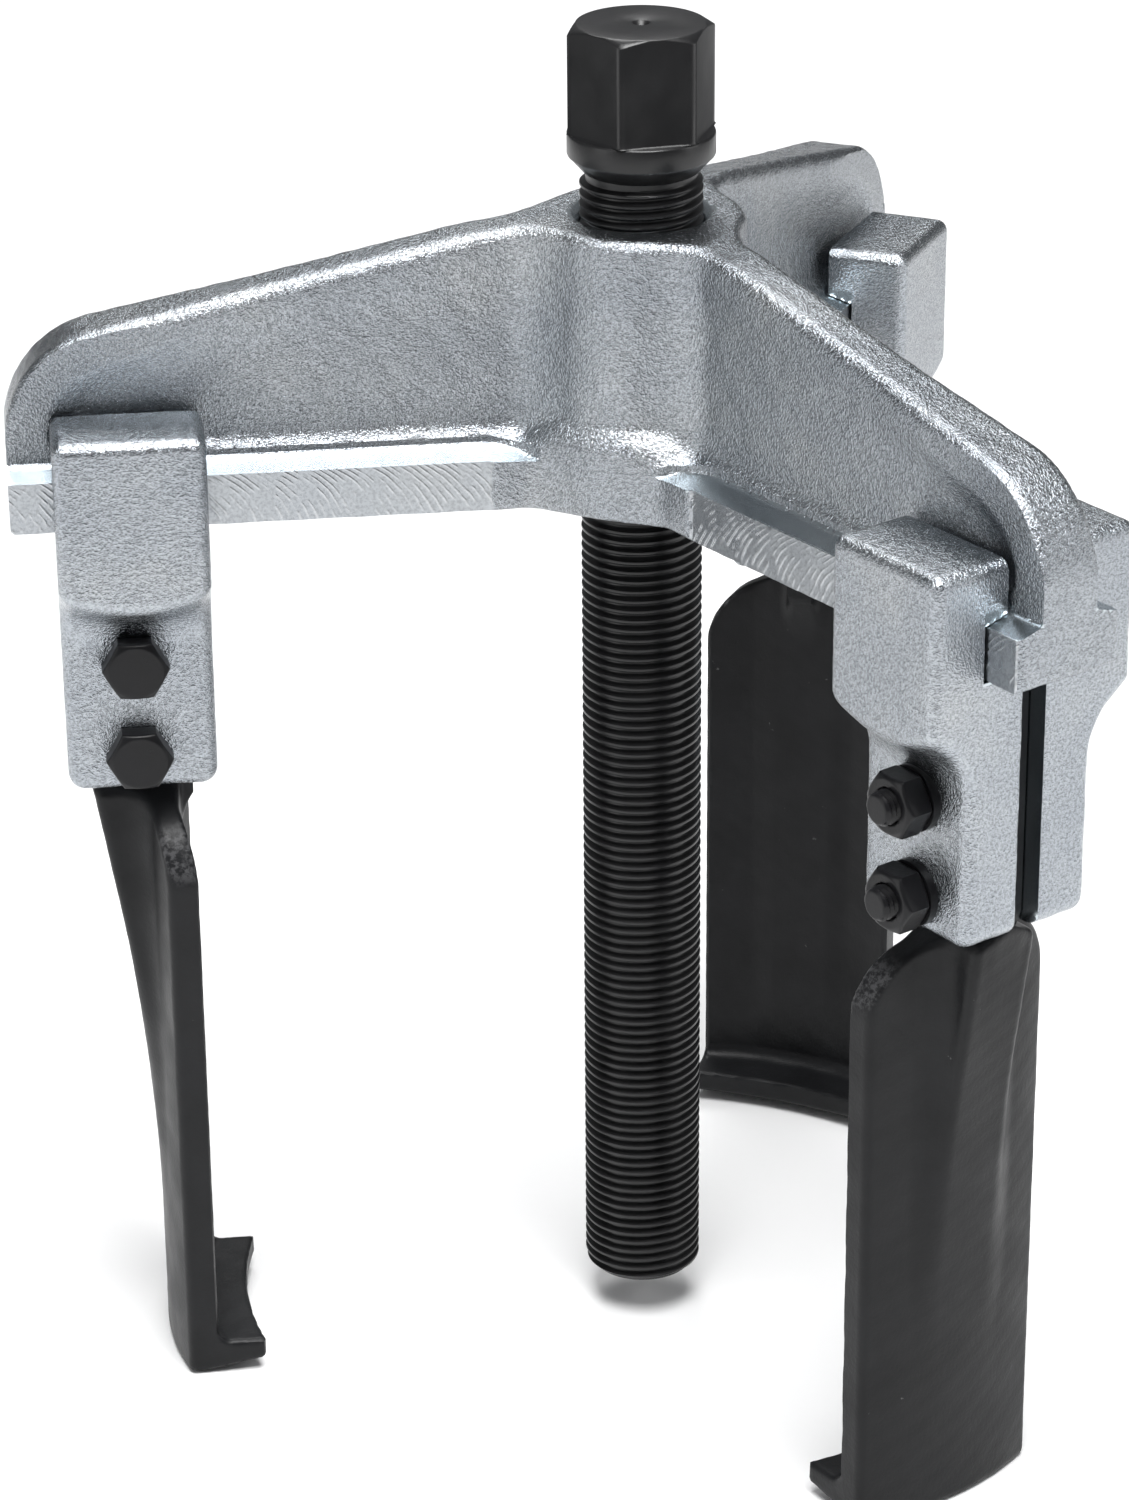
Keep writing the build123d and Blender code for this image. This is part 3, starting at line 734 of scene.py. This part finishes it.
# ---------------------------------------------------------------- materials
class Nodes:
    """Short names for building one material's nodes."""

    def __init__(self, name):
        self.material = bpy.data.materials.new(name)
        self.material.use_nodes = True
        self.tree = self.material.node_tree
        self.shader = self.tree.nodes["Principled BSDF"]
        self.place = self.add("ShaderNodeTexCoord").outputs["Object"]

    def add(self, kind, **settings):
        node = self.tree.nodes.new(kind)
        for key, value in settings.items():
            setattr(node, key, value)
        return node

    def link(self, source, target):
        if isinstance(source, (int, float)):
            target.default_value = source
        else:
            self.tree.links.new(source, target)

    def noise(self, scale, detail=2.0, rough=0.5):
        node = self.add("ShaderNodeTexNoise")
        self.link(self.place, node.inputs["Vector"])
        node.inputs["Scale"].default_value = scale
        node.inputs["Detail"].default_value = detail
        node.inputs["Roughness"].default_value = rough
        return node.outputs["Fac"]

    def math(self, operation, a, b=0.0, c=0.0):
        node = self.add("ShaderNodeMath", operation=operation)
        for value, socket in zip((a, b, c), node.inputs):
            self.link(value, socket)
        return node.outputs[0]

    def split(self, vector):
        node = self.add("ShaderNodeSeparateXYZ")
        self.link(vector, node.inputs[0])
        return node.outputs

    def span(self, value, low, high, to_low=0.0, to_high=1.0):
        node = self.add("ShaderNodeMapRange", interpolation_type="SMOOTHSTEP")
        for socket, number in zip(node.inputs[1:5], (low, high, to_low, to_high)):
            socket.default_value = number
        self.link(value, node.inputs[0])
        return node.outputs[0]

    def ramp(self, value, *stops):
        node = self.add("ShaderNodeValToRGB")
        while len(node.color_ramp.elements) < len(stops):
            node.color_ramp.elements.new(0.5)
        for element, (position, colour) in zip(node.color_ramp.elements, stops):
            element.position = position
            element.color = (*colour, 1.0)
        self.link(value, node.inputs[0])
        return node.outputs[0]

    def mix(self, factor, a, b):
        node = self.add("ShaderNodeMix", data_type="RGBA")
        self.link(factor, node.inputs[0])
        for value, socket in ((a, node.inputs[6]), (b, node.inputs[7])):
            if isinstance(value, tuple):
                socket.default_value = (*value, 1.0)
            else:
                self.tree.links.new(value, socket)
        return node.outputs[2]

    def attribute(self, name, output="Fac"):
        return self.add("ShaderNodeAttribute", attribute_name=name).outputs[output]

    def bump(self, height, distance, normal=None):
        node = self.add("ShaderNodeBump")
        node.inputs["Distance"].default_value = distance
        self.link(height, node.inputs["Height"])
        if normal is not None:
            self.link(normal, node.inputs["Normal"])
        return node.outputs["Normal"]

    def finish(self, colour, roughness, normal, metallic, **constants):
        self.link(colour, self.shader.inputs["Base Color"])
        self.link(roughness, self.shader.inputs["Roughness"])
        self.link(normal, self.shader.inputs["Normal"])
        self.shader.inputs["Metallic"].default_value = metallic
        for key, value in constants.items():
            self.shader.inputs[key].default_value = value
        return self.material


SMOOTH_ZINC = (0.52, 0.57, 0.60)
MILLED_ZINC = (0.40, 0.41, 0.42)
GROOVE_ZINC = (0.86, 0.87, 0.88)
CUTTER_RADIUS = 19.5           # of the round marks on the rails, in millimetres like the two below
CUTTER_RISE = 16.5
CUTTER_FEED = 1.5
CUTTER_WANDER = 2.2
GROOVE_DEPTH = 0.00006


def cutter_marks(n, milled):
    """Round grooves that a milling cutter left on the rails, in patches."""
    u, _, w = n.split(n.attribute("arm_place", "Vector"))
    level = n.math("ADD", w, CUTTER_RISE)
    chord = n.math("SQRT", n.math("SUBTRACT", CUTTER_RADIUS ** 2, n.math("MULTIPLY", level, level)))
    wander = n.math("MULTIPLY", n.noise(120.0), CUTTER_WANDER)
    place = n.math("ADD", n.math("ADD", u, chord), wander)
    wave = n.math("SINE", n.math("MULTIPLY", place, 2 * math.pi / CUTTER_FEED))
    wave = n.math("MULTIPLY_ADD", wave, 0.5, 0.5)
    patches = n.math("MULTIPLY", n.span(n.noise(330.0), 0.38, 0.62), milled)
    return n.math("MULTIPLY", n.math("POWER", wave, 3.0), patches)


def zinc_material(name, grain, brightness, with_arms):
    """Blue-bright zinc plating on a shot-blasted forging, smoother where it was machined."""
    n = Nodes(name)
    coarse = n.noise(1800.0, 2.0, 0.6)
    fine = n.noise(3600.0, 2.0, 0.6)
    pits = n.span(n.noise(260.0, 3.0, 0.7), 0.70, 0.78)
    cloud = n.noise(38.0, 3.0, 0.6)
    smooth = n.attribute("smooth_cut")
    milled = n.attribute("milled")
    forged = n.math("SUBTRACT", 1.0, n.math("MAXIMUM", smooth, milled))
    height = n.math("MULTIPLY_ADD", fine, 0.45, coarse)
    height = n.math("MULTIPLY_ADD", pits, -0.3, height)
    height = n.math("MULTIPLY", height, n.math("MULTIPLY_ADD", forged, 0.93, 0.07))
    colour = n.ramp(cloud, (0.30, (0.33, 0.355, 0.385)), (0.55, (0.39, 0.415, 0.44)),
                    (0.75, (0.44, 0.46, 0.475)))
    shade = n.add("ShaderNodeVectorMath", operation="SCALE")
    n.link(colour, shade.inputs[0])
    # brightness scales the zinc's colour; the shoes' higher value is a painted reflection of the white floor
    n.link(n.span(coarse, 0.34, 0.60, 0.74 * brightness, 1.10 * brightness), shade.inputs["Scale"])
    colour = n.mix(smooth, shade.outputs[0], SMOOTH_ZINC)
    roughness = n.span(cloud, 0.3, 0.7, 0.18, 0.27)
    roughness = n.math("MULTIPLY_ADD", milled, 0.06, roughness)
    normal = n.bump(height, grain)
    if with_arms:
        groove = cutter_marks(n, milled)
        normal = n.bump(groove, GROOVE_DEPTH, normal)
        colour = n.mix(n.math("MULTIPLY", groove, 0.35), colour, GROOVE_ZINC)
        colour = n.mix(n.math("MULTIPLY", milled, 0.35), colour, MILLED_ZINC)
    return n.finish(colour, roughness, normal, 1.0)


WORN_SPECK = (0.20, 0.20, 0.20)
WORN_SHOULDER = (0.13, 0.13, 0.135)


def shoulder_wear(n):
    """Mask of the wear on the upward faces at a jaw blade's upper corners."""
    _, y, z = n.split(n.place)
    mask = n.span(n.math("ABSOLUTE", y), 0.0125, 0.0160)
    mask = n.math("MULTIPLY", mask, n.span(z, 0.0880, 0.0930))
    mask = n.math("MULTIPLY", mask, n.span(n.noise(900.0, 3.0, 0.7), 0.40, 0.62))
    up = n.split(n.add("ShaderNodeNewGeometry").outputs["Normal"])[2]
    return n.math("MULTIPLY", mask, n.span(up, 0.10, 0.35))


def black_material(name, base, rough, grain, sheen, worn=0.0):
    """Black oxide on steel, with a fine grain and, where it is worn, small grey specks."""
    n = Nodes(name)
    fine = n.noise(1300.0, 3.0, 0.6)
    cloud = n.noise(60.0, 3.0, 0.6)
    dark = tuple(c * 0.75 for c in base)
    light = tuple(c * 1.35 for c in base)
    colour = n.ramp(cloud, (0.32, dark), (0.7, light))
    if worn:
        specks = n.span(n.noise(230.0, 5.0, 0.75), 0.69, 0.74)
        colour = n.mix(n.math("MULTIPLY", specks, worn), colour, WORN_SPECK)
        colour = n.mix(n.math("MULTIPLY", shoulder_wear(n), worn), colour, WORN_SHOULDER)
    roughness = n.span(n.noise(90.0), 0.3, 0.7, rough - 0.05, rough + 0.06)
    return n.finish(colour, roughness, n.bump(fine, grain), 0.0, **{"Specular IOR Level": sheen})


def steel_material(name):
    """Bright hardened steel of the pressure ball."""
    n = Nodes(name)
    cloud = n.noise(300.0, 3.0, 0.6)
    colour = n.ramp(cloud, (0.3, (0.45, 0.45, 0.46)), (0.7, (0.62, 0.62, 0.63)))
    roughness = n.span(cloud, 0.3, 0.7, 0.16, 0.26)
    return n.finish(colour, roughness, n.bump(n.noise(2500.0), 0.00001), 1.0)


# The shoes' copy of the zinc is painted a little lighter than the crossbeam's, brightness 0.98 against 0.92:
# a painted reflection of the white floor on the shoes' upright plates.
zinc_beam = zinc_material("zinc_crossbeam", 0.00022, 0.92, True)
zinc_shoe = zinc_material("zinc_shoe", 0.00018, 0.98, False)
black_spindle = black_material("black_spindle", (0.006, 0.006, 0.0065), 0.34, 0.00002, 0.45)
black_jaw = black_material("black_jaw", (0.008, 0.0083, 0.0092), 0.42, 0.00006, 0.22, 0.4)
black_fastener = black_material("black_fastener", (0.007, 0.007, 0.008), 0.32, 0.00003, 0.24)
ball_steel = steel_material("ball_steel_polished")


# ---------------------------------------------------------------- pieces
def leg_matrix(arm):
    """Place of a leg, whose x axis points outwards along its arm."""
    turn = Matrix.Rotation(math.radians(ARM_ANGLES[arm]), 4, "Z")
    return turn @ Matrix.Translation((LEG_RADIUS * MM, 0, 0))


def fastener_matrix(arm, sideways, height):
    """Place of a bolt or nut, whose x axis points to the anticlockwise side of the leg."""
    place = Matrix.Translation((BOLT_OFFSET * MM, sideways * MM, height * MM))
    return leg_matrix(arm) @ place @ Matrix.Rotation(math.radians(90), 4, "Z")


def with_material(mesh, material):
    mesh.materials.clear()
    mesh.materials.append(material)
    return mesh


place_piece("crossbeam_forging", with_material(make_crossbeam(), zinc_beam), "crossbeam",
            replaced=["crossbeam"])
place_piece("spindle_screw", with_material(make_spindle(), black_spindle), "spindle",
            replaced=["spindle"])

SIDES = {"bolt_side": 1, "nut_side": -1}
shoe_meshes = {}
for name, side in SIDES.items():
    shoe_meshes[name] = with_material(make_shoe(side, f"shoe_{name}"), zinc_shoe)
jaw_mesh = with_material(make_jaw(), black_jaw)
bolt_mesh = make_fastener("hexagon_bolt", bolt_field, -BOLT_LENGTH, BOLT_HEAD_HEIGHT)
nut_mesh = make_fastener("hexagon_nut", nut_field, -NUT_HEIGHT, 0.0)
with_material(bolt_mesh, black_fastener)
with_material(nut_mesh, black_fastener)

for arm in ARM_ANGLES:
    body = f"leg_{arm}"
    base = leg_matrix(arm)
    place_piece(f"jaw_{arm}_forging", jaw_mesh, body, base, [f"jaw_{arm}"])
    for name, shoe_mesh in shoe_meshes.items():
        place_piece(f"shoe_{arm}_{name}_forging", shoe_mesh, body, base,
                    [f"shoe_{arm}_{name}"])
    for place, height in BOLT_HEIGHTS.items():
        under_head = fastener_matrix(arm, PLATE_OUTER, height)
        on_washer = fastener_matrix(arm, -PLATE_OUTER - WASHER_THICKNESS, height)
        place_piece(f"bolt_{arm}_{place}_hexagon", bolt_mesh, body, under_head,
                    [f"bolt_{arm}_{place}"])
        place_piece(f"nut_{arm}_{place}_hexagon", nut_mesh, body, on_washer,
                    [f"nut_{arm}_{place}"])
        with_material(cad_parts[f"washer_{arm}_{place}"].data, black_fastener)

with_material(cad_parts["pressure_ball"].data, ball_steel)

# ---------------------------------------------------------------- floor, light and camera
FLOOR_HALF = 3.0
FLOOR_GAP = 0.0003             # between the floor and the jaws' feet
FLOOR_ROUGHNESS = 0.8
floor_z = cad_low.z - FLOOR_GAP
floor_corners = [(-FLOOR_HALF, -FLOOR_HALF, floor_z), (FLOOR_HALF, -FLOOR_HALF, floor_z),
                 (FLOOR_HALF, FLOOR_HALF, floor_z), (-FLOOR_HALF, FLOOR_HALF, floor_z)]
floor_mesh = bpy.data.meshes.new("floor")
floor_mesh.from_pydata(floor_corners, [], [(0, 1, 2, 3)])
floor = bpy.data.objects.new("floor", floor_mesh)
bpy.context.scene.collection.objects.link(floor)
floor_nodes = Nodes("pale_floor")
floor_colour = floor_nodes.ramp(floor_nodes.noise(3.0), (0.3, (0.86, 0.86, 0.86)), (0.7, (0.90, 0.90, 0.90)))
floor_normal = floor_nodes.bump(floor_nodes.noise(400.0), 0.00005)
with_material(floor_mesh, floor_nodes.finish(floor_colour, FLOOR_ROUGHNESS, floor_normal, 0.0))


def area_light(name, location, target, width, height, power):
    data = bpy.data.lights.new(name, "AREA")
    data.energy = power
    data.shape = "RECTANGLE"
    data.size = width
    data.size_y = height
    light = bpy.data.objects.new(name, data)
    bpy.context.scene.collection.objects.link(light)
    light.location = location
    direction = Vector(target) - Vector(location)
    light.rotation_euler = direction.to_track_quat("-Z", "Y").to_euler()


AIM = (0.0, 0.0, 0.12)
area_light("top_light", (0.0, -0.42, 1.40), AIM, 0.80, 0.80, 30.0)
area_light("floor_light", (0.0, 1.10, 1.60), (0.0, 1.10, 0.0), 0.80, 0.80, 16.0)
area_light("left_light", (-1.15, -0.45, 0.50), AIM, 0.55, 0.9, 3.5)
area_light("right_light", (1.15, -0.30, 0.55), AIM, 0.50, 0.9, 3.5)

world = bpy.data.worlds.new("studio")
bpy.context.scene.world = world
world.use_nodes = True
background = world.node_tree.nodes["Background"]
background.inputs["Color"].default_value = (0.95, 0.97, 1.0, 1.0)
background.inputs["Strength"].default_value = 0.18
bpy.context.scene.view_settings.view_transform = "Standard"

CAMERA_PLACE = Vector((-0.10186, -0.75082, 0.44980))
CAMERA_FORWARD = Vector((0.10602, 0.90357, -0.41511)).normalized()
CAMERA_ROLL = math.radians(-0.484)
CAMERA_LENS = 113.16
camera_data = bpy.data.cameras.new("camera")
camera_data.sensor_width = 36.0
camera_data.lens = CAMERA_LENS
camera_data.clip_start = 0.01
camera = bpy.data.objects.new("camera", camera_data)
bpy.context.scene.collection.objects.link(camera)
right = CAMERA_FORWARD.cross(Vector((0, 0, 1))).normalized()
up = right.cross(CAMERA_FORWARD)
rolled_right = right * math.cos(CAMERA_ROLL) + up * math.sin(CAMERA_ROLL)
rolled_up = up * math.cos(CAMERA_ROLL) - right * math.sin(CAMERA_ROLL)
camera.matrix_world = Matrix.Translation(CAMERA_PLACE) @ Matrix(
    (rolled_right, rolled_up, -CAMERA_FORWARD)).transposed().to_4x4()
bpy.context.scene.camera = camera
